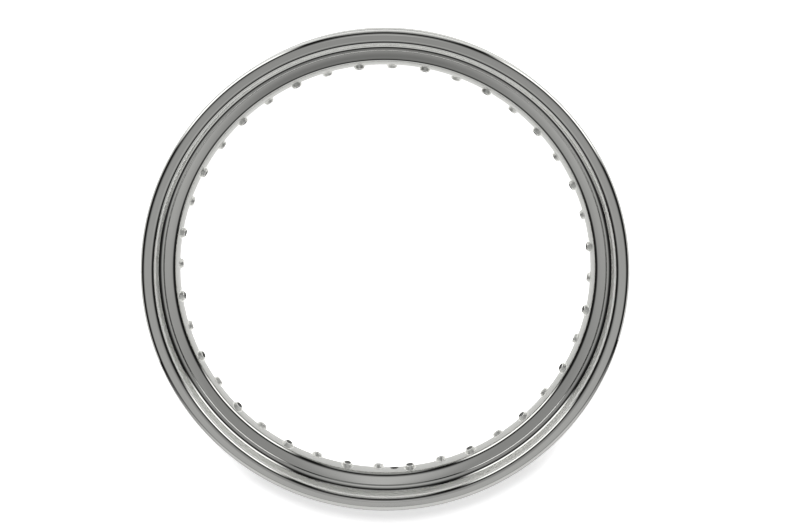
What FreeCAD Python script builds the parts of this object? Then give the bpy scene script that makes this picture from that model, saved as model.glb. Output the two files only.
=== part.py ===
"""Spoked wheel rim: one steel strip, roll-formed to a drop-centre section and closed to a hoop.

The wheel's axis is Z, the origin is the hoop's centre on its middle plane, and the valve hole is at -Y.
Sizes are in millimetres and degrees. The tyre side of the strip faces outward, the hub side inward.
"""
import FreeCAD
import Part
import Sketcher

import math
import os

V = FreeCAD.Vector

SIZES = [
    # alias, value, meaning
    ("bead_seat_diameter", 484.1, "diameter that the tyre's beads sit on"),
    ("flange_height", 14, "bead seat to the top of the lip"),
    ("inside_width", 54.6, "between the two flanges"),
    ("flange_width", 11.5, "across one rolled-over flange"),
    ("gauge", 2, "thickness of the strip"),
    ("well_depth", 21.6, "bead seat to the well's floor"),
    ("well_width", 18.5, "between the well's walls at its floor"),
    ("wall_angle", 15, "well wall, off the plane of the wheel"),
    ("crown_radius", 14.5, "rounded floor of the well, tyre side"),
    ("bend_radius", 4.5, "floor to well wall, tyre side"),
    ("shoulder_radius", 11, "well wall to bead seat, tyre side"),
    ("root_radius", 2.5, "bead seat to flange, tyre side"),
    ("heel_radius", 5.75, "outer face to the tucked-in edge"),
    ("edge_slot", 0.6, "between the strip's cut edge and the flange"),
    ("row_count", 20, "dimples that lean to one side"),
    ("dimple_lean", 10, "lean of a dimple off the plane of the wheel"),
    ("boss_height", 4, "boss, above the hub side of the floor"),
    ("boss_base", 13, "diameter of the boss where it leaves the floor"),
    ("boss_tip", 7.2, "diameter of the flat at the boss's tip"),
    ("boss_round", 2.4, "rounding of the tip"),
    ("recess_mouth", 9.8, "diameter of the dimple at the tyre side"),
    ("recess_floor", 7.8, "diameter of the dimple at its floor"),
    ("nipple_hole", 6.6, "hole through a dimple"),
    ("valve_hole", 8.8, "hole for the valve's stem"),
]

doc = FreeCAD.newDocument("wheel_rim")
sheet = doc.addObject("Spreadsheet::Sheet", "Sizes")
for row, (alias, value, meaning) in enumerate(SIZES, start=1):
    sheet.set("A%d" % row, alias)
    sheet.set("B%d" % row, str(value))
    sheet.set("C%d" % row, meaning)
    sheet.setAlias("B%d" % row, alias)
doc.recompute()

# The sizes as plain numbers: where the sketches' lines start, before their constraints hold them
size = {alias: float(sheet.get(alias)) for alias, value, meaning in SIZES}
gauge = size["gauge"]
crown_radius = size["crown_radius"]
seat_radius = size["bead_seat_diameter"] / 2
floor_radius = seat_radius - size["well_depth"]
crown_centre = floor_radius + crown_radius
half_inside = size["inside_width"] / 2
half_flange = size["flange_width"] / 2
edge_height = half_inside + gauge + size["edge_slot"]

# The same places as expressions on the sheet
SEAT = "Sizes.bead_seat_diameter / 2"
FLOOR = SEAT + " - Sizes.well_depth"
CROWN_CENTRE = FLOOR + " + Sizes.crown_radius"
HALF_INSIDE = "Sizes.inside_width / 2"
HALF_PITCH = "90 deg / Sizes.row_count"

# Sketch names for the origin, the x axis and an arc's or a line's points
ORIGIN = (-1, 1)
X_AXIS = -1
START, END, CENTRE = 1, 2, 3


def origin_part(body, role):
    """One of the body's own origin planes or axes."""
    return next(part for part in body.Origin.OriginFeatures if part.Role == role)


def new_sketch(body, name):
    """A sketch in a plane through the wheel's axis: its x is the radius, its y is along the axis."""
    sketch = body.newObject("Sketcher::SketchObject", name)
    sketch.AttachmentSupport = (origin_part(body, "XZ_Plane"), [""])
    sketch.MapMode = "FlatFace"
    return sketch


def line(sketch, start, end, construction=False):
    return sketch.addGeometry(Part.LineSegment(V(*start), V(*end)), construction)


def arc(sketch, centre, radius, first, last):
    """An arc from one angle, in degrees, to a larger one."""
    circle = Part.Circle(V(*centre), V(0, 0, 1), radius)
    return sketch.addGeometry(Part.ArcOfCircle(circle, math.radians(first), math.radians(last)))


def hold(sketch, kind, *places):
    """A constraint without a size."""
    sketch.addConstraint(Sketcher.Constraint(kind, *places))


def measure(sketch, kind, *places, to):
    """A constraint whose size, the last of its places, follows an expression on the sheet."""
    index = sketch.addConstraint(Sketcher.Constraint(kind, *places))
    sketch.setExpression("Constraints[%d]" % index, to)


def polar(centre, radius, angle):
    """The point at an angle, in degrees, on a circle."""
    turn = math.radians(angle)
    return (centre[0] + radius * math.cos(turn), centre[1] + radius * math.sin(turn))


# The well wall starts at its foot, level with the floor, and runs up at its angle
wall_angle = size["wall_angle"]
wall_x, wall_y = polar((0, 0), 1, wall_angle)
foot_x, foot_y = floor_radius, size["well_width"] / 2


def bend_centre():
    """The bend touches the well wall and, from within, the crown of the floor."""
    radius = size["bend_radius"]
    base_x = foot_x + radius * wall_y - crown_centre
    base_y = foot_y - radius * wall_x
    half = base_x * wall_x + base_y * wall_y
    reach = crown_radius - radius
    along = -half - math.sqrt(half**2 - base_x**2 - base_y**2 + reach**2)
    return (crown_centre + base_x + along * wall_x, base_y + along * wall_y)


def shoulder_centre():
    """The shoulder touches the well wall and the bead seat, on the hub side of both."""
    radius = size["shoulder_radius"]
    middle = seat_radius - radius
    rise = (middle - foot_x + radius * wall_y) * wall_y / wall_x
    return (middle, foot_y + radius * wall_x + rise)


def root_centre():
    return (seat_radius + size["root_radius"], half_inside - size["root_radius"])


def lip_centre():
    return (seat_radius + size["flange_height"] - half_flange, half_inside + half_flange)


def heel_centre():
    radius = size["heel_radius"]
    return (seat_radius - gauge + radius, half_inside + 2 * half_flange - radius)


bend_x, bend_y = bend_centre()
crown_end = math.degrees(math.atan2(bend_y, bend_x - crown_centre))

# The strip's bends from the floor of the well to the tucked-in edge: centre, radius at the tyre side,
# what the gauge does to that radius at the hub side, and the angles where the strip enters and leaves
BENDS = [
    (bend_centre(), size["bend_radius"], 1, crown_end, 90 + wall_angle),
    (shoulder_centre(), size["shoulder_radius"], -1, wall_angle - 90, 0),
    (root_centre(), size["root_radius"], 1, 180, 90),
    (lip_centre(), half_flange, -1, -90, 90),
    (heel_centre(), size["heel_radius"], -1, 90, 180),
]
BEND, SHOULDER, ROOT, LIP, HEEL = range(5)
WALL, BEAD_SEAT, FLANGE, FACE, TUCK = range(5)


def draw_run(sketch, crown, side, offset):
    """One face of the strip, from the floor's crown to the cut edge: arcs, and the straights after them."""
    arcs, enters, leaves, ends = [], [], [], []
    for centre, radius, sign, angle_in, angle_out in BENDS:
        middle = (centre[0], side * centre[1])
        radius = radius + sign * offset
        angles = [side * angle_in, side * angle_out]
        forward = angles[0] < angles[1]
        arcs.append(arc(sketch, middle, radius, min(angles), max(angles)))
        enters.append(START if forward else END)
        leaves.append(END if forward else START)
        ends.append([polar(middle, radius, angle) for angle in angles])
    cut = (ends[HEEL][1][0], side * edge_height)
    stops = [points[0] for points in ends[1:]] + [cut]
    lines = [line(sketch, points[1], stop) for points, stop in zip(ends, stops)]
    before = (crown, START if side > 0 else END)
    for index, enter, leave, after in zip(arcs, enters, leaves, lines):
        hold(sketch, "Tangent", *before, index, enter)
        hold(sketch, "Tangent", index, leave, after, START)
        before = (after, END)
    return arcs, lines


def close_edge(sketch, side, tyre_line, hub_line):
    """The strip's cut edge, square across its gauge."""
    inner = seat_radius - gauge
    edge = line(sketch, (inner, side * edge_height), (inner + gauge, side * edge_height))
    hold(sketch, "Coincident", tyre_line, END, edge, START)
    hold(sketch, "Coincident", hub_line, END, edge, END)
    hold(sketch, "Horizontal", edge)


def size_tyre_side(sketch, arcs, lines):
    """The upper half's tyre side carries the sizes of the section."""
    for index, alias in (
        (BEND, "bend_radius"),
        (SHOULDER, "shoulder_radius"),
        (ROOT, "root_radius"),
        (HEEL, "heel_radius"),
    ):
        measure(sketch, "Radius", arcs[index], size[alias], to="Sizes." + alias)
    for index in (BEAD_SEAT, TUCK):
        hold(sketch, "Vertical", lines[index])
    for index in (FLANGE, FACE):
        hold(sketch, "Horizontal", lines[index])
    lip_x = lip_centre()[0]
    overall = half_inside + 2 * half_flange
    lip_place = SEAT + " + Sizes.flange_height - Sizes.flange_width / 2"
    edge_place = HALF_INSIDE + " + Sizes.gauge + Sizes.edge_slot"
    measure(sketch, "DistanceX", *ORIGIN, lines[BEAD_SEAT], START, seat_radius, to=SEAT)
    measure(sketch, "DistanceY", *ORIGIN, lines[FLANGE], START, half_inside, to=HALF_INSIDE)
    measure(sketch, "DistanceY", *ORIGIN, lines[FACE], START, overall, to=HALF_INSIDE + " + Sizes.flange_width")
    measure(sketch, "DistanceX", *ORIGIN, arcs[LIP], CENTRE, lip_x, to=lip_place)
    measure(sketch, "DistanceX", *ORIGIN, lines[TUCK], END, seat_radius - gauge, to=SEAT + " - Sizes.gauge")
    measure(sketch, "DistanceY", *ORIGIN, lines[TUCK], END, edge_height, to=edge_place)

    # The well wall's angle, and the point level with the floor that it runs through
    foot = sketch.addGeometry(Part.Point(V(foot_x, foot_y)), True)
    measure(sketch, "DistanceX", *ORIGIN, foot, START, foot_x, to=FLOOR)
    measure(sketch, "DistanceY", *ORIGIN, foot, START, foot_y, to="Sizes.well_width / 2")
    hold(sketch, "PointOnObject", foot, START, lines[WALL])
    measure(sketch, "Angle", lines[WALL], math.radians(wall_angle), to="Sizes.wall_angle * 1 deg")


def size_hub_side(sketch, arcs, lines, tyre_arcs):
    """The hub side runs one gauge behind the tyre side, round the same centres."""
    aliases = ("bend_radius", "shoulder_radius", "root_radius", "flange_width / 2", "heel_radius")
    for index, tyre_arc in zip(arcs, tyre_arcs):
        hold(sketch, "Coincident", index, CENTRE, tyre_arc, CENTRE)
    # The bend's own radius already follows from the crown that it touches
    for index in (SHOULDER, ROOT, LIP, HEEL):
        centre, radius, sign, angle_in, angle_out = BENDS[index]
        offset = " + Sizes.gauge" if sign > 0 else " - Sizes.gauge"
        measure(sketch, "Radius", arcs[index], radius + sign * gauge, to="Sizes." + aliases[index] + offset)
    hold(sketch, "Vertical", lines[TUCK])


def mirror_lower(sketch, upper, lower, upper_hub, lower_hub):
    """The lower half mirrors the upper one in the wheel's middle plane."""
    for above, below in zip(upper[0], lower[0]):
        hold(sketch, "Symmetric", above, CENTRE, below, CENTRE, X_AXIS)
    for tyre_arc, below in zip(lower[0], lower_hub[0]):
        hold(sketch, "Coincident", below, CENTRE, tyre_arc, CENTRE)
    for above, below in ((upper, lower), (upper_hub, lower_hub)):
        for index in (SHOULDER, ROOT, LIP, HEEL):
            hold(sketch, "Equal", above[0][index], below[0][index])
        hold(sketch, "Vertical", below[1][TUCK])
    hold(sketch, "Equal", upper[1][TUCK], lower[1][TUCK])


def draw_section(body):
    """The strip's whole section, with every size taken from the sheet."""
    sketch = new_sketch(body, "Section")
    centre = (crown_centre, 0)
    crown = arc(sketch, centre, crown_radius, crown_end, 360 - crown_end)
    under = arc(sketch, centre, crown_radius + gauge, crown_end, 360 - crown_end)
    upper = draw_run(sketch, crown, 1, 0)
    lower = draw_run(sketch, crown, -1, 0)
    upper_hub = draw_run(sketch, under, 1, gauge)
    lower_hub = draw_run(sketch, under, -1, gauge)
    close_edge(sketch, 1, upper[1][TUCK], upper_hub[1][TUCK])
    close_edge(sketch, -1, lower[1][TUCK], lower_hub[1][TUCK])

    hold(sketch, "PointOnObject", crown, CENTRE, X_AXIS)
    measure(sketch, "DistanceX", *ORIGIN, crown, CENTRE, crown_centre, to=CROWN_CENTRE)
    measure(sketch, "Radius", crown, crown_radius, to="Sizes.crown_radius")
    hold(sketch, "Coincident", under, CENTRE, crown, CENTRE)
    measure(sketch, "Radius", under, crown_radius + gauge, to="Sizes.crown_radius + Sizes.gauge")
    size_tyre_side(sketch, *upper)
    size_hub_side(sketch, *upper_hub, upper[0])
    mirror_lower(sketch, upper, lower, upper_hub, lower_hub)
    return sketch


def dimple_sketch(body, name, side):
    """A sketch with the axis of one dimple, square to the crown of the floor and leaning to one side."""
    sketch = new_sketch(body, name)
    turn = 270 + side * 90 / size["row_count"]
    sketch.AttachmentOffset = FreeCAD.Placement(V(0, 0, 0), FreeCAD.Rotation(V(0, 1, 0), turn))
    sign = "+" if side > 0 else "-"
    sketch.setExpression("AttachmentOffset.Rotation.Angle", "270 deg %s %s" % (sign, HALF_PITCH))
    angle = 180 - side * size["dimple_lean"]
    centre = (crown_centre, 0)
    axis = line(sketch, centre, polar(centre, 2 * crown_radius, angle), True)
    hold(sketch, "PointOnObject", axis, START, X_AXIS)
    measure(sketch, "DistanceX", *ORIGIN, axis, START, crown_centre, to=CROWN_CENTRE)
    measure(sketch, "Distance", axis, 2 * crown_radius, to="2 * Sizes.crown_radius")
    lean = "180 deg %s Sizes.dimple_lean * 1 deg" % ("-" if side > 0 else "+")
    measure(sketch, "Angle", axis, math.radians(angle), to=lean)
    return sketch, axis, angle


def beside_axis(angle, side):
    """Places points by their depth below the crown's centre, along the dimple's axis, and their radius."""

    def place(depth, radius):
        return polar(polar((crown_centre, 0), depth, angle), radius, angle - side * 90)

    return place


def close_on_axis(sketch, axis, first, last, spine):
    """The spine closes a profile along the dimple's axis."""
    hold(sketch, "Coincident", last, END, spine, START)
    hold(sketch, "Coincident", spine, END, first, START)
    hold(sketch, "PointOnObject", spine, START, axis)
    hold(sketch, "PointOnObject", spine, END, axis)


def square_to(sketch, axis, index, depth, to):
    """A line square to the dimple's axis, at a depth below the crown's centre."""
    hold(sketch, "Perpendicular", index, axis)
    measure(sketch, "Distance", *(axis, START), index, depth, to=to)


def add_boss(body, name, side):
    """The dimple's boss on the hub side: a blunt cone with a rounded tip, rooted inside the floor."""
    sketch, axis, angle = dimple_sketch(body, name + "Profile", side)
    place = beside_axis(angle, side)
    root = crown_radius + gauge / 4
    tip = crown_radius + gauge + size["boss_height"]
    base_radius = size["boss_base"] / 2
    flat_radius = size["boss_tip"] / 2
    rounding = size["boss_round"]

    # The flank runs from the root to where it touches the tip's rounding
    back = root - tip + rounding
    out = base_radius - flat_radius
    touch = math.atan2(out, back) - math.acos(rounding / math.hypot(out, back))
    touch_depth = tip - rounding + rounding * math.cos(touch)
    touch_radius = flat_radius + rounding * math.sin(touch)

    base = line(sketch, place(root, 0), place(root, base_radius))
    flank = line(sketch, place(root, base_radius), place(touch_depth, touch_radius))
    angles = sorted((angle, angle - side * math.degrees(touch)))
    corner = arc(sketch, place(tip - rounding, flat_radius), rounding, *angles)
    end = line(sketch, place(tip, flat_radius), place(tip, 0))
    spine = line(sketch, place(tip, 0), place(root, 0))
    hold(sketch, "Coincident", base, END, flank, START)
    hold(sketch, "Tangent", flank, END, corner, START if side > 0 else END)
    hold(sketch, "Tangent", corner, END if side > 0 else START, end, START)
    close_on_axis(sketch, axis, base, end, spine)
    square_to(sketch, axis, base, root, to="Sizes.crown_radius + Sizes.gauge / 4")
    square_to(sketch, axis, end, tip, to="Sizes.crown_radius + Sizes.gauge + Sizes.boss_height")
    measure(sketch, "Distance", base, END, axis, base_radius, to="Sizes.boss_base / 2")
    measure(sketch, "Distance", corner, CENTRE, axis, flat_radius, to="Sizes.boss_tip / 2")
    measure(sketch, "Radius", corner, rounding, to="Sizes.boss_round")

    boss = body.newObject("PartDesign::Revolution", name)
    boss.Profile = sketch
    boss.ReferenceAxis = (sketch, ["Axis0"])
    boss.Angle = 360
    return boss


def add_recess(body, name, side):
    """The dimple's recess on the tyre side, and the nipple's hole through its floor."""
    sketch, axis, angle = dimple_sketch(body, name + "Profile", side)
    place = beside_axis(angle, side)
    clear = crown_radius - gauge
    floor = crown_radius + size["boss_height"]
    through = floor + 2 * gauge
    mouth_radius = size["recess_mouth"] / 2
    floor_width = size["recess_floor"] / 2
    hole_radius = size["nipple_hole"] / 2

    top = line(sketch, place(clear, 0), place(clear, mouth_radius))
    flank = line(sketch, place(clear, mouth_radius), place(floor, floor_width))
    ledge = line(sketch, place(floor, floor_width), place(floor, hole_radius))
    hole = line(sketch, place(floor, hole_radius), place(through, hole_radius))
    end = line(sketch, place(through, hole_radius), place(through, 0))
    spine = line(sketch, place(through, 0), place(clear, 0))
    for before, after in ((top, flank), (flank, ledge), (ledge, hole), (hole, end)):
        hold(sketch, "Coincident", before, END, after, START)
    close_on_axis(sketch, axis, top, end, spine)
    hold(sketch, "Parallel", hole, axis)
    square_to(sketch, axis, top, clear, to="Sizes.crown_radius - Sizes.gauge")
    square_to(sketch, axis, ledge, floor, to="Sizes.crown_radius + Sizes.boss_height")
    square_to(sketch, axis, end, through, to="Sizes.crown_radius + Sizes.boss_height + 2 * Sizes.gauge")
    measure(sketch, "Distance", top, END, axis, mouth_radius, to="Sizes.recess_mouth / 2")
    measure(sketch, "Distance", ledge, START, axis, floor_width, to="Sizes.recess_floor / 2")
    measure(sketch, "Distance", hole, START, axis, hole_radius, to="Sizes.nipple_hole / 2")

    recess = body.newObject("PartDesign::Groove", name)
    recess.Profile = sketch
    recess.ReferenceAxis = (sketch, ["Axis0"])
    recess.Angle = 360
    return recess


def add_row(body, name, side):
    """All dimples that lean to one side, evenly round the hoop."""
    boss = add_boss(body, name + "Boss", side)
    doc.recompute()
    recess = add_recess(body, name + "Recess", side)
    doc.recompute()
    row = body.newObject("PartDesign::PolarPattern", name + "Row")
    row.Originals = [boss, recess]
    row.Axis = (origin_part(body, "Z_Axis"), [""])
    row.Angle = 360
    row.Occurrences = int(size["row_count"])
    row.setExpression("Occurrences", "Sizes.row_count")
    body.Tip = row
    doc.recompute()


def add_valve_hole(body):
    """One round hole through the floor of the well, midway between two dimples."""
    sketch = new_sketch(body, "ValveProfile")
    circle = sketch.addGeometry(Part.Circle(V(0, 0, 0), V(0, 0, 1), size["valve_hole"] / 2))
    hold(sketch, "Coincident", circle, CENTRE, *ORIGIN)
    measure(sketch, "Diameter", circle, size["valve_hole"], to="Sizes.valve_hole")
    valve = body.newObject("PartDesign::Pocket", "ValveHole")
    valve.Profile = sketch
    valve.Reversed = True
    valve.Length = seat_radius
    valve.setExpression("Length", SEAT)
    body.Tip = valve
    doc.recompute()


body = doc.addObject("PartDesign::Body", "Rim")
body.Label = "rim"
section = draw_section(body)
hoop = body.newObject("PartDesign::Revolution", "Hoop")
hoop.Profile = section
hoop.ReferenceAxis = (section, ["V_Axis"])
hoop.Angle = 360
doc.recompute()
add_row(body, "Upper", 1)
add_row(body, "Lower", -1)
add_valve_hole(body)

for item in doc.Objects:
    if "Invalid" in item.State or "Error" in item.State:
        raise RuntimeError("%s did not build: %s" % (item.Name, item.State))
if body.Shape.isNull() or not body.Shape.isValid() or len(body.Shape.Solids) != 1:
    raise RuntimeError("%s is not one valid solid" % body.Label)

os.makedirs("parts", exist_ok=True)
body.Shape.exportStep("parts/%s.step" % body.Label)
print("%s: %.0f mm3" % (body.Label, body.Shape.Volume))
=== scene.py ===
import math

import bmesh
import bpy
import numpy as np
from mathutils import Matrix, Vector


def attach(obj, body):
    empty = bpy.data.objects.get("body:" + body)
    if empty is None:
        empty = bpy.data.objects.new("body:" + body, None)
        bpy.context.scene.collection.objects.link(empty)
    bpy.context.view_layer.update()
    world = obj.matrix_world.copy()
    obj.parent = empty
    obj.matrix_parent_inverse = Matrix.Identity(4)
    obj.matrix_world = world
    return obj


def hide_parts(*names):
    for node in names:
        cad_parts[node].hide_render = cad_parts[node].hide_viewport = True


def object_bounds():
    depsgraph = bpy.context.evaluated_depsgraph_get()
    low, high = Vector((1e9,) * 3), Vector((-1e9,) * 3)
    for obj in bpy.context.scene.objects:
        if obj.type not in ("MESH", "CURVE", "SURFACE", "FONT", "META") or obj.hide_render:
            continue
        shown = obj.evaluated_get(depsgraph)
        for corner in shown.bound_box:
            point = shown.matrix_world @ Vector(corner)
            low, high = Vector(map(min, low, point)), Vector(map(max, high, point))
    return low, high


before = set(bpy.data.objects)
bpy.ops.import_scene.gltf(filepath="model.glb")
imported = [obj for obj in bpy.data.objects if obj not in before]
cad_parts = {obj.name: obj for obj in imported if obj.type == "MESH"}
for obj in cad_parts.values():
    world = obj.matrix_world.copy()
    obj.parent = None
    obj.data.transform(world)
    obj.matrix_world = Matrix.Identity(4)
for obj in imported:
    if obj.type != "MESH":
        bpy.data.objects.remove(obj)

# Wheel rim: a rolled and chromed steel hoop, with pierced dimples in two rows and a valve hole
cad_low, cad_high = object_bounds()

# Section of the rolled strip, in metres and degrees: radius from the wheel's axis, height along it
lip_radius = max(cad_high.x, cad_high.y)
half_width = cad_high.z
GAUGE = 0.002
FLANGE_HEIGHT = 0.014
FLANGE_WIDTH = 0.0115
WELL_DEPTH = 0.0216
WELL_WIDTH = 0.0185
WALL_ANGLE = 15
CROWN_RADIUS = 0.0145
BEND_RADIUS = 0.0045
SHOULDER_RADIUS = 0.004
SHOULDER_EASE = 0.0095
SHOULDER_SPLIT = -40
ROOT_RADIUS = 0.0025
HEEL_RADIUS = 0.00575
EDGE_SLOT = 0.0006
SEAM_WIDTH = 0.0003
SEAM_DEPTH = 0.0004

# The small step that the rolls leave in the well wall: its steepest slope, half its width, and its place
STEP_SLOPE = 52
STEP_REACH = 0.0008
STEP_PLACE = 0.0018

# Dimples: a boss towards the hub with a hole in its tip, and the recess behind it. Widths are radii
DIMPLES = 40
DIMPLE_LEAN = 10
BOSS_HEIGHT = 0.0034
BOSS_BASE = 0.0062
BOSS_FLAT = 0.0037
BOSS_ROUND = 0.0012
BOSS_BLEND = 0.0008
BLEND_REACH = 0.008
RECESS_MOUTH = 0.0049
RECESS_FLOOR = 0.0039
RECESS_BLEND = 0.0006
NIPPLE_HOLE = 0.0033
VALVE_HOLE = 0.0044
VALVE_AZIMUTH = -90
EDGE_ROUND = 0.00025
EDGE_MIDDLE = 0.3 * EDGE_ROUND

# Mesh density: columns round the hoop, with so many in each dimple's share, and rows across the floor
SHARE = 8
COLUMNS = DIMPLES * SHARE
VALVE_SHARE = 2
ROWS = 10
ROUND_STEPS = 5
FLANK_STEPS = 8
RECESS_STEPS = 4
MOUTH_RINGS = (0.0001, 0.0003, 0.0008)
VALVE_RING = 0.001
SPREAD_ROWS = 3
NEWTON_STEPS = 6
SAME_PLACE = 1e-7

# Finishes: material, roughness, grey, and how unevenly it is worn. A cut edge is bright, with flat shading
# The satin and raised greys are lighter than bright chrome, as painted light; the dull and pierced greys
# are darker, as painted shade
FINISHES = {
    "bright": ("bright_chrome", 0.05, 0.61, 0.4),
    "satin_painted_light": ("satin_chrome_painted_light", 0.55, 0.92, 0.1),
    "dull_painted_shade": ("dull_chrome_painted_shade", 0.35, 0.36, 0.4),
    "pierced": ("hole_painted_shade", 0.4, 0.26, 0.4),
    "raised": ("boss_chrome_painted_light", 0.5, 0.95, 0.15),
}

# How many rings of a boss and of a recess have a finish of their own, the boss's lighter as painted light
# and the recess's darker as painted shade, and how many rows of the curled edge are satin, with painted
# light
BOSS_RINGS = 13
RECESS_RINGS = 5
SATIN_PAINTED_LIGHT_HEEL = 3

# Chrome plate: scales of the lines drawn out round the hoop, the polishing marks and the orange peel, with
# their bumps as strength and height. The lines and the marks make the wear, and the marks the tint
LINE_SCALE = 1600
LINE_TURN = 0.004
LINE_BUMP = (0.003, 0.0002)
MARK_SCALE = 38
PEEL_SCALE = 420
PEEL_BUMP = (0.004, 0.0004)
LINE_WEAR = 0.3
WEAR_RANGE = (0.3, 0.7)
MARK_TINTS = ((0.97, 0.975, 0.935), (1.03, 1.03, 1))

seat_radius = lip_radius - FLANGE_HEIGHT
half_inside = half_width - FLANGE_WIDTH
half_flange = FLANGE_WIDTH / 2
floor_radius = seat_radius - WELL_DEPTH
crown_ring = floor_radius + CROWN_RADIUS


def polar(angle):
    """Unit vector at an angle in degrees, in the plane of the section."""
    return np.array((math.cos(math.radians(angle)), math.sin(math.radians(angle))))


def bend_centre():
    """The bend touches the well wall and, from within, the crown of the floor."""
    wall = polar(WALL_ANGLE)
    start = np.array((floor_radius - crown_ring, WELL_WIDTH / 2)) + BEND_RADIUS * polar(WALL_ANGLE - 90)
    half = start @ wall
    reach = CROWN_RADIUS - BEND_RADIUS
    along = -half - math.sqrt(half**2 - start @ start + reach**2)
    return np.array((crown_ring, 0)) + start + along * wall


def shoulder_centres():
    """The shoulder is rolled in two arcs: a wide one off the well wall, then a tight one onto the seat."""
    step = (SHOULDER_EASE - SHOULDER_RADIUS) * polar(SHOULDER_SPLIT)
    wall = polar(WALL_ANGLE)
    middle = seat_radius - SHOULDER_RADIUS - step[0]
    foot = np.array((floor_radius, WELL_WIDTH / 2)) + SHOULDER_EASE * polar(WALL_ANGLE + 90)
    wide = np.array((middle, foot[1] + (middle - foot[0]) * wall[1] / wall[0]))
    return wide, wide + step


root_centre = np.array((seat_radius + ROOT_RADIUS, half_inside - ROOT_RADIUS))
lip_centre = np.array((lip_radius - half_flange, half_inside + half_flange))
heel_centre = np.array((seat_radius - GAUGE + HEEL_RADIUS, half_width - HEEL_RADIUS))
edge_height = half_inside + GAUGE + EDGE_SLOT
bend = bend_centre()
crown_end = 180 - math.degrees(math.atan2(bend[1], bend[0] - crown_ring))
crown_angles = list(np.linspace(-crown_end, crown_end, ROWS + 1)[1:-1])
wide_shoulder, tight_shoulder = shoulder_centres()

# Bends from the floor outwards: centre, tyre-side radius, what the gauge adds at the hub side, angles in
# and out, and how many steps the arc gets
BENDS = [
    (bend, BEND_RADIUS, 1, 180 - crown_end, 90 + WALL_ANGLE, 6),
    (wide_shoulder, SHOULDER_EASE, -1, WALL_ANGLE - 90, SHOULDER_SPLIT, 5),
    (tight_shoulder, SHOULDER_RADIUS, -1, SHOULDER_SPLIT, 0, 5),
    (root_centre, ROOT_RADIUS, 1, 180, 90, 6),
    (lip_centre, half_flange, -1, -90, 90, 16),
    (heel_centre, HEEL_RADIUS, -1, 90, 180, 10),
]
# The bend that follows the well wall, how many bends the hub side has, and how many the tyre hides
AFTER_WALL = 1
AT_HUB = 3
WITHIN_TYRE = 4


def wall_step(foot, head):
    """The step in the well wall, close to its head: places, and slopes in degrees."""
    run, rise = head - foot
    steep = math.tan(math.radians(STEP_SLOPE))
    slope = (rise - STEP_REACH * steep) / (run - STEP_REACH)
    middle = run - STEP_PLACE
    half = STEP_REACH * (steep + slope) / 2
    low = slope * (middle - STEP_REACH)
    gentle = math.degrees(math.atan(slope))
    return [
        (foot + np.array((middle - STEP_REACH, low)), gentle),
        (foot + np.array((middle, low + half)), STEP_SLOPE),
        (foot + np.array((middle + STEP_REACH, low + 2 * half)), gentle),
    ]


def strip_face(hub_side):
    """One face of the strip's upper half, from the floor to the seam: places, normals and bend numbers.

    The curled edge is closed against the seat, so the hub side runs up to a fine seam below that edge.
    """
    places, normals, bends = [], [], []
    shown = BENDS[:AT_HUB] if hub_side else BENDS
    for number, (centre, radius, sign, first, last, steps) in enumerate(shown):
        reach = radius + sign * GAUGE if hub_side else radius
        outward = sign if hub_side else -sign
        if hub_side and number == AFTER_WALL:
            for place, slope in wall_step(places[-1], centre + reach * polar(first)):
                places.append(place)
                normals.append(polar(slope + 90))
                bends.append(number)
        for angle in np.linspace(first, last, steps + 1):
            place = centre + reach * polar(angle)
            if not places or np.linalg.norm(place - places[-1]) > SAME_PLACE:
                places.append(place)
                normals.append(outward * polar(angle))
                bends.append(number)
    end_height = edge_height - SEAM_WIDTH if hub_side else edge_height
    places.append(np.array((places[-1][0], end_height)))
    normals.append(normals[-1])
    if hub_side:
        places.append(places[-1] + np.array((SEAM_DEPTH, 0)))
        normals.append(normals[-1])
    return np.array(places), np.array(normals), bends


def azimuth(column):
    """Direction of a column of the mesh, in radians. Column 0 runs through the valve hole."""
    return math.radians(VALVE_AZIMUTH) + 2 * math.pi * column / COLUMNS


class Hoop:
    """Collects the rim's mesh: places, the normals that are known exactly, and faces with their finish."""

    def __init__(self):
        self.places = []
        self.normals = []
        self.faces = []
        self.finishes = []

    def add(self, place, normal=None):
        self.places.append(place)
        self.normals.append(normal)
        return len(self.places) - 1

    def turned(self, point, normal, angle):
        """A point of the section, turned about the wheel's axis."""
        turn = np.array(((math.cos(angle), 0), (math.sin(angle), 0), (0, 1)))
        return self.add(turn @ point, turn @ normal)

    def band(self, first, second, finish):
        """Quads between two closed rows of equal length."""
        for k in range(len(first)):
            m = (k + 1) % len(first)
            self.faces.append((first[k], first[m], second[m], second[k]))
            self.finishes.append(finish)


def crown_reach(hub_side):
    """Radius of the floor's crown in the section, at one face of the strip."""
    return CROWN_RADIUS + GAUGE if hub_side else CROWN_RADIUS


def crown_point(hub_side, column, angle):
    """A point of the floor's crown: its column and its angle from the middle plane, in degrees."""
    section = polar(180 - angle)
    point = np.array((crown_ring, 0)) + crown_reach(hub_side) * section
    return point, section if hub_side else -section, azimuth(column)


def floor_depth(reach, across, along, lean):
    """Depth of the floor below the crown's centre, along a dimple's axis, at a place beside that axis.

    across is measured round the hoop, and along in the section. The floor is a torus, met by Newton steps.
    """
    c, s = polar(lean)
    depth = math.sqrt(max(reach**2 - along**2, 0))
    for _ in range(NEWTON_STEPS):
        radial = crown_ring - depth * c + along * s
        height = depth * s + along * c
        ring = math.hypot(radial, across)
        error = (ring - crown_ring) ** 2 + height**2 - reach**2
        slope = 2 * (ring - crown_ring) * radial / ring * -c + 2 * height * s
        depth -= error / slope
    return depth


def smooth_max(a, b, width):
    """The larger of two depths, with a fillet where they meet."""
    overlap = max(width - abs(a - b), 0) / width
    return max(a, b) + overlap**2 * width / 4


def blended(depth, width):
    """The depth of a ring that runs out into the floor, as a function of the floor's own depth."""
    return lambda floor: smooth_max(floor, depth, width)


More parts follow.
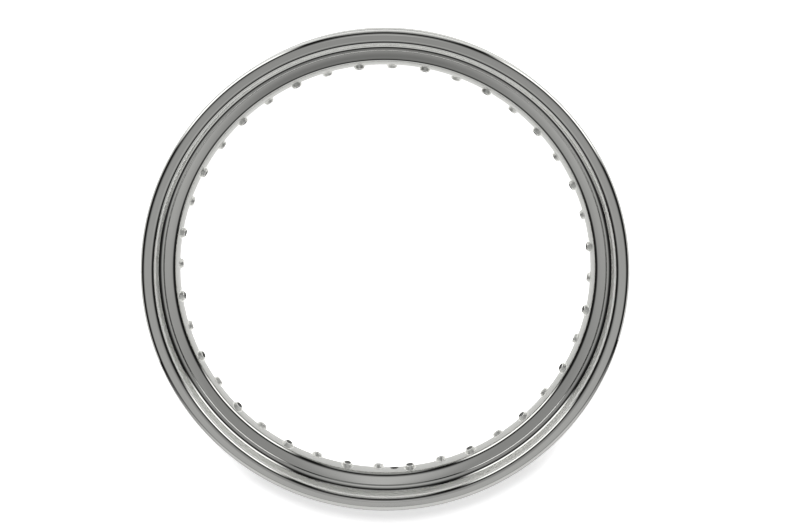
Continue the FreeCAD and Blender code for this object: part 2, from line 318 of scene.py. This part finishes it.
def boss_profile():
    """Radii and depths of the boss from its hole to its flank, and the flank's own line further down."""
    tip = CROWN_RADIUS + GAUGE + BOSS_HEIGHT
    root = CROWN_RADIUS + GAUGE / 4
    back, out = root - tip + BOSS_ROUND, BOSS_BASE - BOSS_FLAT
    touch = math.atan2(out, back) - math.acos(BOSS_ROUND / math.hypot(out, back))
    rows = [
        (NIPPLE_HOLE, tip - EDGE_ROUND),
        (NIPPLE_HOLE + EDGE_MIDDLE, tip - EDGE_MIDDLE),
        (NIPPLE_HOLE + EDGE_ROUND, tip),
    ]
    for angle in np.linspace(0, touch, ROUND_STEPS + 1):
        radius = BOSS_FLAT + BOSS_ROUND * math.sin(angle)
        rows.append((radius, tip - BOSS_ROUND * (1 - math.cos(angle))))
    touch_radius, touch_depth = rows[-1]
    slope = (root - touch_depth) / (BOSS_BASE - touch_radius)

    def flank(radius):
        return touch_depth + slope * (radius - touch_radius)

    return rows, flank


def hub_rows():
    """Rings of the boss: radius, and a function that gives the depth from the floor's own depth there."""
    rows, flank = boss_profile()
    rings = [(radius, lambda floor, depth=depth: max(depth, floor)) for radius, depth in rows]
    start = rows[-1][0]
    for radius in np.linspace(start, BLEND_REACH, FLANK_STEPS + 1)[1:]:
        rings.append((radius, blended(flank(radius), BOSS_BLEND)))
    return rings


def tyre_rows():
    """Rings of the recess behind the boss, in the same form."""
    ledge = CROWN_RADIUS + BOSS_HEIGHT
    top = CROWN_RADIUS - GAUGE
    slope = (ledge - top) / (RECESS_FLOOR - RECESS_MOUTH)

    def recess(radius):
        return min(ledge, ledge + slope * (radius - RECESS_FLOOR))

    mouth = RECESS_FLOOR + (CROWN_RADIUS - ledge) / slope
    radii = [NIPPLE_HOLE]
    radii += list(np.linspace(RECESS_FLOOR, mouth, RECESS_STEPS + 1))
    radii += [mouth + ring for ring in MOUTH_RINGS] + [BLEND_REACH]
    return [(radius, blended(recess(radius), RECESS_BLEND)) for radius in radii]


def valve_rows(hub_side):
    """Rings round the valve hole: its rounded edge, then the floor itself."""
    inward = -EDGE_ROUND if hub_side else EDGE_ROUND
    return [
        (VALVE_HOLE, lambda floor: floor + inward),
        (VALVE_HOLE + EDGE_MIDDLE, lambda floor: floor + inward * EDGE_MIDDLE / EDGE_ROUND),
        (VALVE_HOLE + EDGE_ROUND, lambda floor: floor),
        (VALVE_HOLE + VALVE_RING, lambda floor: floor),
    ]


def patch(hoop, rim_loop, corners, middle, lean, hub_side, rings):
    """One stretch of floor with a hole in it: rings round the hole, then rows out to its four sides.

    rim_loop is the vertices along the four sides, and corners their columns and crown angles. The ring at
    the hole's edge comes back.
    """
    reach = crown_reach(hub_side)
    count = len(rim_loop)
    angle = azimuth(middle)
    radial = np.array((math.cos(angle), math.sin(angle), 0))
    round_ = np.array((-math.sin(angle), math.cos(angle), 0))
    up = np.array((0, 0, 1))
    c, s = polar(lean)
    axis = -c * radial + s * up
    side = s * radial + c * up
    centre = crown_ring * radial
    width = sum(crown == -crown_end for column, crown in corners) - 1
    first = -90 - 180 * width / count
    turns = [math.radians(first + 360 * k / count) for k in range(count)]
    loops = []
    for radius, depth_of in rings:
        loop = []
        for turn in turns:
            across, along = radius * math.cos(turn), radius * math.sin(turn)
            depth = depth_of(floor_depth(reach, across, along, lean))
            loop.append(hoop.add(centre + depth * axis + across * round_ + along * side))
        loops.append(loop)
    ends = []
    for place in (hoop.places[vertex] for vertex in loops[-1]):
        ring = math.hypot(place[0], place[1])
        turn = math.atan2(place @ round_, place @ radial)
        column = middle + turn * COLUMNS / (2 * math.pi)
        ends.append((column, math.degrees(math.atan2(place[2], crown_ring - ring))))
    for step in range(1, SPREAD_ROWS + 1):
        share = step / (SPREAD_ROWS + 1)
        loop = []
        for start, end in zip(np.array(ends), np.array(corners)):
            column, crown = start + share * (end - start)
            loop.append(hoop.turned(*crown_point(hub_side, column, crown)))
        loops.append(loop)
    loops.append(rim_loop)
    for number, (inner, outer) in enumerate(zip(loops, loops[1:])):
        # The boss's rings get painted light and the recess's rings painted shade; the rest of the floor on
        # the tyre side is dull, with painted shade
        if hub_side:
            finish = "raised" if number < BOSS_RINGS and lean != 0 else "bright"
        else:
            finish = "pierced" if number < RECESS_RINGS and lean != 0 else "dull_painted_shade"
        hoop.band(inner, outer, finish)
    return loops[0]


def patch_plan():
    """Stretches of the floor: first and last column, the hole's column and the lean of its axis."""
    plan = []
    for number in range(DIMPLES):
        first, last = number * SHARE, (number + 1) * SHARE
        middle = (first + last) / 2
        lean = DIMPLE_LEAN if number % 2 == 0 else -DIMPLE_LEAN
        first += VALVE_SHARE if number == 0 else 0
        last -= VALVE_SHARE if number == DIMPLES - 1 else 0
        plan.append((first, last, middle, lean))
    plan.append((COLUMNS - VALVE_SHARE, COLUMNS + VALVE_SHARE, COLUMNS, None))
    return plan


def side_rows(hoop, hub_side, columns):
    """Vertices across the floor at the columns where two stretches meet."""
    rows = {}
    for column in columns:
        rows[column] = [hoop.turned(*crown_point(hub_side, column, angle)) for angle in crown_angles]
    return rows


def add_strip(hoop):
    """The rolled strip at both sides of the floor. Its first and last rows come back."""
    ends = {}
    for side in (1, -1):
        for hub_side in (True, False):
            places, normals, bends = strip_face(hub_side)
            flip = np.array((1, side))
            rows = [
                [hoop.turned(place * flip, normal * flip, azimuth(column)) for column in range(COLUMNS)]
                for place, normal in zip(places, normals)
            ]
            finishes = ["bright"] * (len(rows) - 1)
            if hub_side:
                # The seat's band under the flange, satin with painted light, then the seam
                finishes[-2:] = ["satin_painted_light", "cut"]
            else:
                # Within the tyre the strip is dull with painted shade, and the curled heel satin with
                # painted light
                within = sum(number < WITHIN_TYRE for number in bends)
                finishes[:within] = ["dull_painted_shade"] * within
                finishes[-SATIN_PAINTED_LIGHT_HEEL:] = ["satin_painted_light"] * SATIN_PAINTED_LIGHT_HEEL
            for low, high, finish in zip(rows, rows[1:], finishes):
                hoop.band(low, high, finish)
            ends[side, hub_side] = (rows[0], rows[-1])
    for side in (1, -1):
        hoop.band(ends[side, True][1], ends[side, False][1], "cut")
    return ends


def add_floor(hoop, ends):
    """The floor of the well between the strip's first rows, in stretches with a hole in each."""
    plan = patch_plan()
    seams = sorted({first % COLUMNS for first, last, middle, lean in plan})
    holes = {}
    for hub_side in (True, False):
        across = side_rows(hoop, hub_side, seams)
        low, high = ends[-1, hub_side][0], ends[1, hub_side][0]
        for number, (first, last, middle, lean) in enumerate(plan):
            run = list(range(first, last + 1))
            loop = [low[column % COLUMNS] for column in run]
            corners = [(column, -crown_end) for column in run]
            loop += across[last % COLUMNS]
            corners += [(last, angle) for angle in crown_angles]
            loop += [high[column % COLUMNS] for column in reversed(run)]
            corners += [(column, crown_end) for column in reversed(run)]
            loop += across[first % COLUMNS][::-1]
            corners += [(first, angle) for angle in reversed(crown_angles)]
            if lean is None:
                rings = valve_rows(hub_side)
            else:
                rings = hub_rows() if hub_side else tyre_rows()
            holes[number, hub_side] = patch(hoop, loop, corners, middle, lean or 0, hub_side, rings)
    for number in range(len(plan)):
        # The walls of the holes are painted dark, as painted shade
        hoop.band(holes[number, True], holes[number, False], "pierced")


def build_hoop():
    """The rim as one closed mesh: the rolled strip, then the floor of the well."""
    hoop = Hoop()
    add_floor(hoop, add_strip(hoop))
    return hoop


def make_rim():
    """The rim's object, with exact normals wherever the section gives them, so that mirrors stay true."""
    hoop = build_hoop()
    mesh = bpy.data.meshes.new("rim_chrome")
    mesh.from_pydata([tuple(place) for place in hoop.places], [], hoop.faces)
    work = bmesh.new()
    work.from_mesh(mesh)
    bmesh.ops.recalc_face_normals(work, faces=work.faces)
    if work.calc_volume(signed=True) < 0:
        bmesh.ops.reverse_faces(work, faces=work.faces)
    work.to_mesh(mesh)
    work.free()
    mesh.shade_smooth()
    mesh.update()
    own = [vertex.normal.copy() for vertex in mesh.vertices]
    exact = [Vector(known) if known is not None else own[k] for k, known in enumerate(hoop.normals)]
    slots = {finish: slot for slot, finish in enumerate(FINISHES)}
    split = []
    for polygon, finish in zip(mesh.polygons, hoop.finishes):
        polygon.material_index = slots.get(finish, slots["bright"])
        split += [polygon.normal if finish == "cut" else exact[v] for v in polygon.vertices]
    mesh.normals_split_custom_set(split)
    rim = bpy.data.objects.new("rim_chrome", mesh)
    bpy.context.scene.collection.objects.link(rim)
    return rim


class Graph:
    """Short forms for building a node tree."""

    def __init__(self, tree):
        self.tree = tree

    def node(self, kind, inputs=None, **settings):
        node = self.tree.nodes.new("ShaderNode" + kind)
        for name, value in settings.items():
            setattr(node, name, value)
        for name, value in (inputs or {}).items():
            self.plug(value, node.inputs[name])
        return node

    def plug(self, value, socket):
        if isinstance(value, bpy.types.NodeSocket):
            self.tree.links.new(value, socket)
        else:
            socket.default_value = value

    def math(self, operation, *values):
        node = self.node("Math", operation=operation)
        for value, socket in zip(values, node.inputs):
            self.plug(value, socket)
        return node.outputs[0]

    def smooth(self, value, first, last):
        """0 at first, 1 at last, with a soft step between."""
        inputs = {"Value": value, "From Min": first, "From Max": last}
        return self.node("MapRange", inputs, interpolation_type="SMOOTHSTEP").outputs[0]

    def blend(self, value, stops):
        """A straight run between two stops, each of them a value and what it gives."""
        (first, low), (last, high) = stops
        inputs = {"Value": value, "From Min": first, "From Max": last, "To Min": low, "To Max": high}
        return self.node("MapRange", inputs).outputs[0]

    def noise(self, inputs):
        return self.node("TexNoise", inputs).outputs["Fac"]

    def bump(self, height, size, inputs=None):
        """Bends the normal by a height, with a strength and a distance."""
        strength, distance = size
        inputs = {"Strength": strength, "Distance": distance, "Height": height, **(inputs or {})}
        return self.node("Bump", inputs).outputs[0]


def chrome(name, roughness, grey, spread):
    """Chrome plate: drawn lines round the hoop from the rolls, polishing marks and a faint orange peel."""
    material = bpy.data.materials.new(name)
    material.use_nodes = True
    graph = Graph(material.node_tree)
    shader = material.node_tree.nodes["Principled BSDF"].inputs
    shader["Metallic"].default_value = 1
    place = graph.node("TexCoord").outputs["Object"]
    parts = graph.node("SeparateXYZ", {"Vector": place}).outputs
    squares = [graph.math("MULTIPLY", part, part) for part in parts[:2]]
    radius = graph.math("SQRT", graph.math("ADD", *squares))
    turn = graph.math("MULTIPLY", graph.math("ARCTAN2", parts[1], parts[0]), LINE_TURN)
    unrolled = graph.node("CombineXYZ", {"X": radius, "Y": parts[2], "Z": turn}).outputs[0]
    lines = graph.noise({"Vector": unrolled, "Scale": LINE_SCALE, "Detail": 3})
    marks = graph.noise({"Vector": place, "Scale": MARK_SCALE, "Detail": 4, "Roughness": 0.6})
    peel = graph.noise({"Vector": place, "Scale": PEEL_SCALE, "Detail": 1})

    wear = graph.math("MULTIPLY", lines, LINE_WEAR)
    wear = graph.math("ADD", wear, graph.math("MULTIPLY", marks, 1 - LINE_WEAR))
    least, most = WEAR_RANGE
    rough = graph.blend(wear, [(least, (1 - spread) * roughness), (most, (1 + spread) * roughness)])
    graph.plug(rough, shader["Roughness"])

    dark, light = ((*(grey * part for part in tint), 1) for tint in MARK_TINTS)
    tint = graph.node("Mix", {"Factor": marks, "A": dark, "B": light}, data_type="RGBA")
    graph.plug(tint.outputs["Result"], shader["Base Color"])

    grain = graph.bump(lines, LINE_BUMP)
    graph.plug(graph.bump(peel, PEEL_BUMP, {"Normal": grain}), shader["Normal"])
    return material


def look(camera, place, forward, up):
    """Puts the camera at a place, looking along forward."""
    right = forward.cross(up).normalized()
    upright = right.cross(forward).normalized()
    turn = Matrix((right, upright, -forward)).transposed()
    camera.matrix_world = Matrix.Translation(place) @ turn.to_4x4()


# The camera: past the zenith, with the valve hole near the foot of the picture. The rim's centre lies so
# many pixels right of the picture's centre and above it
FRAME_WIDTH = 800
SENSOR_WIDTH = 36
CLIP_START = 0.01
CLIP_END = 50
TILT = 10.3
ROLL = 2.5
DISTANCE = 1.75
PIXEL_AT_CENTRE = 0.001067
CENTRE_RIGHT = -14.7
CENTRE_UP = -5.1


def make_camera():
    """The picture's own view of the rim."""
    data = bpy.data.cameras.new("camera")
    camera = bpy.data.objects.new("camera", data)
    bpy.context.scene.collection.objects.link(camera)
    bpy.context.scene.camera = camera
    data.sensor_width = SENSOR_WIDTH
    data.lens = SENSOR_WIDTH * DISTANCE / PIXEL_AT_CENTRE / FRAME_WIDTH
    data.clip_start = CLIP_START
    data.clip_end = CLIP_END
    turn = Matrix.Rotation(math.radians(-ROLL), 3, "Z")
    tilt = math.radians(TILT)
    back = turn @ Vector((0, math.sin(tilt), math.cos(tilt)))
    up = turn @ Vector((0, math.cos(tilt), -math.sin(tilt)))
    right = turn @ Vector((1, 0, 0))
    aim = -CENTRE_RIGHT * PIXEL_AT_CENTRE * right - CENTRE_UP * PIXEL_AT_CENTRE * up
    look(camera, aim + DISTANCE * back, -back, up)


# The ceiling: angles from the zenith in degrees, with their greys. It is lighter to the near side, by a
# slope that is held within limits
CEILING = [(0, 0.52), (20, 0.50), (31, 0.37), (40, 0.11), (50, 0.02), (82, 0.01), (92, 0.8)]
CEILING_SLOPE = 1.5
CEILING_EVEN = -0.17
CEILING_LIMITS = (0.75, 1.22)

# Soft panels, in degrees: azimuth of the middle, half the width and its fade, lowest and highest angle
# above the horizon and their fade. Then the brightness: the last panel is a dark patch in the ceiling
PANELS = [
    (-43, 18, 5, -4, 26, 5, 2.0),
    (53, 18, 5, -4, 26, 5, 2.0),
    (5, 16, 5, -2, 24, 5, 0.4),
    (0, 30, 30, 72, 100, 8, 0.3),
    (180, 22, 14, 56, 68, 5, -0.2),
]

# The table: how it glows by its depth in the picture, and how the metal mirrors it by distance and by
# depth, where the dimming low in the picture is a painted shadow near the rim's lowest edge
FLOOR_REACH = 0.62
FLOOR_SIDES = 96
FLOOR_GREY = 0.9
FLOOR_GLOW = [(-0.24, 0.58), (-0.18, 1)]
FLOOR_MIRRORED = [(0.08, 0), (0.23, 0.15)]
FLOOR_PAINTED_SHADOW = [(-0.23, 0.4), (-0.11, 1)]

# The card close in front, with the stretch over which it fades to each side, and the lamp for the shadow
CARD_PLACE = (0, -0.35, 0.13)
CARD_SIZE = (1.5, 0.40)
CARD_SOFT = [(0.25, 0.72), (0.10, 0.20)]
CARD_BRIGHTNESS = 0.9
LAMP_PLACE = (0, 0.5, 1.41)
LAMP_SIZE = 0.35
LAMP_POWER = 18
MATT = 0.9


def studio_piece(name, work, material):
    """An object of the studio, from a mesh that is ready."""
    mesh = bpy.data.meshes.new(name)
    work.to_mesh(mesh)
    work.free()
    mesh.materials.append(material)
    piece = bpy.data.objects.new(name, mesh)
    bpy.context.scene.collection.objects.link(piece)
    return piece


def glowing(name, grey):
    """A matt material that glows, with its graph and the socket for the strength of the glow."""
    material = bpy.data.materials.new(name)
    material.use_nodes = True
    shader = material.node_tree.nodes["Principled BSDF"].inputs
    shader["Base Color"].default_value = (grey, grey, grey, 1)
    shader["Roughness"].default_value = MATT
    shader["Specular IOR Level"].default_value = 0
    shader["Emission Color"].default_value = (1, 1, 1, 1)
    return material, Graph(material.node_tree), shader["Emission Strength"]


def make_floor():
    """A round white table that keeps the rim's shadow."""
    material, graph, strength = glowing("white_floor", FLOOR_GREY)
    path = graph.node("LightPath").outputs
    place = graph.node("TexCoord").outputs["Object"]
    away = graph.node("VectorMath", {0: place}, operation="LENGTH").outputs["Value"]
    depth = graph.node("SeparateXYZ", {"Vector": place}).outputs["Y"]
    # The glow that only the metal sees is fainter towards the middle, and darker low in the picture as a
    # painted shadow
    glow = graph.math("MULTIPLY", graph.blend(away, FLOOR_MIRRORED), graph.blend(depth, FLOOR_PAINTED_SHADOW))
    mirrored = graph.math("MAXIMUM", path["Is Glossy Ray"], path["Is Transmission Ray"])
    glow = graph.math("MULTIPLY", mirrored, glow)
    white = graph.math("MULTIPLY", path["Is Camera Ray"], graph.blend(depth, FLOOR_GLOW))
    graph.plug(graph.math("ADD", white, glow), strength)
    work = bmesh.new()
    bmesh.ops.create_circle(work, cap_ends=True, segments=FLOOR_SIDES, radius=FLOOR_REACH)
    floor = studio_piece("floor", work, material)
    floor.location.z = cad_low.z


def make_card():
    """A pale card below the picture that only the metal sees, fading towards its edges."""
    material, graph, strength = glowing("pale_card", 0)
    parts = graph.node("SeparateXYZ", {"Vector": graph.node("TexCoord").outputs["Object"]}).outputs
    total = CARD_BRIGHTNESS
    for part, (near, far) in zip(parts, CARD_SOFT):
        total = graph.math("MULTIPLY", graph.smooth(graph.math("ABSOLUTE", part), far, near), total)
    graph.plug(total, strength)
    work = bmesh.new()
    bmesh.ops.create_grid(work, size=0.5)
    card = studio_piece("card", work, material)
    card.data.transform(Matrix.Diagonal((*CARD_SIZE, 1, 1)))
    card.matrix_world = Matrix.Translation(CARD_PLACE) @ Matrix.Rotation(math.radians(90), 4, "X")
    card.visible_camera = card.visible_diffuse = card.visible_shadow = False


def make_light():
    """The room that the metal mirrors, and the lamp."""
    world = bpy.data.worlds.new("studio")
    bpy.context.scene.world = world
    world.use_nodes = True
    graph = Graph(world.node_tree)
    direction = graph.node("TexCoord").outputs["Generated"]
    parts = graph.node("SeparateXYZ", {"Vector": direction}).outputs
    away = graph.math("DIVIDE", graph.math("ARCCOSINE", parts[2]), math.pi)
    ramp = graph.node("ValToRGB", {"Fac": away})
    ramp.color_ramp.interpolation = "EASE"
    stops = ramp.color_ramp.elements
    while len(stops) < len(CEILING):
        stops.new(0.5)
    for stop, (angle, grey) in zip(stops, CEILING):
        stop.position = angle / 180
        stop.color = (grey, grey, grey, 1)
    total = graph.node("RGBToBW", {"Color": ramp.outputs["Color"]}).outputs[0]
    lighter = graph.math("MULTIPLY_ADD", parts[1], -CEILING_SLOPE, 1 + CEILING_EVEN * CEILING_SLOPE)
    least, most = CEILING_LIMITS
    lighter = graph.math("MINIMUM", graph.math("MAXIMUM", lighter, least), most)
    total = graph.math("MULTIPLY", total, lighter)
    around = graph.math("ARCTAN2", parts[0], parts[1])
    height = graph.math("ARCSINE", parts[2])
    for *angles, strength in PANELS:
        middle, half, side_fade, low, high, fade = (math.radians(angle) for angle in angles)
        off = graph.math("ARCCOSINE", graph.math("COSINE", graph.math("SUBTRACT", around, middle)))
        panel = graph.smooth(off, half + side_fade, half - side_fade)
        panel = graph.math("MULTIPLY", panel, graph.smooth(height, low - fade, low + fade))
        panel = graph.math("MULTIPLY", panel, graph.smooth(height, high + fade, high - fade))
        total = graph.math("ADD", total, graph.math("MULTIPLY", panel, strength))
    seen = graph.node("LightPath").outputs["Is Camera Ray"]
    final = graph.node("Mix", {"Factor": seen, "A": total, "B": 1.0}, data_type="FLOAT")
    graph.plug(final.outputs["Result"], world.node_tree.nodes["Background"].inputs["Color"])

    data = bpy.data.lights.new("lamp", "AREA")
    data.shape = "DISK"
    data.size = LAMP_SIZE
    data.energy = LAMP_POWER
    lamp = bpy.data.objects.new("lamp", data)
    place = Vector(LAMP_PLACE)
    turn = (-place).to_track_quat("-Z", "Y").to_matrix().to_4x4()
    lamp.matrix_world = Matrix.Translation(place) @ turn
    lamp.visible_glossy = False
    bpy.context.scene.collection.objects.link(lamp)


bpy.context.scene.view_settings.view_transform = "Standard"
rim = make_rim()
for finish in FINISHES.values():
    rim.data.materials.append(chrome(*finish))
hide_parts("rim")
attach(rim, "root")
make_camera()
make_floor()
make_card()
make_light()
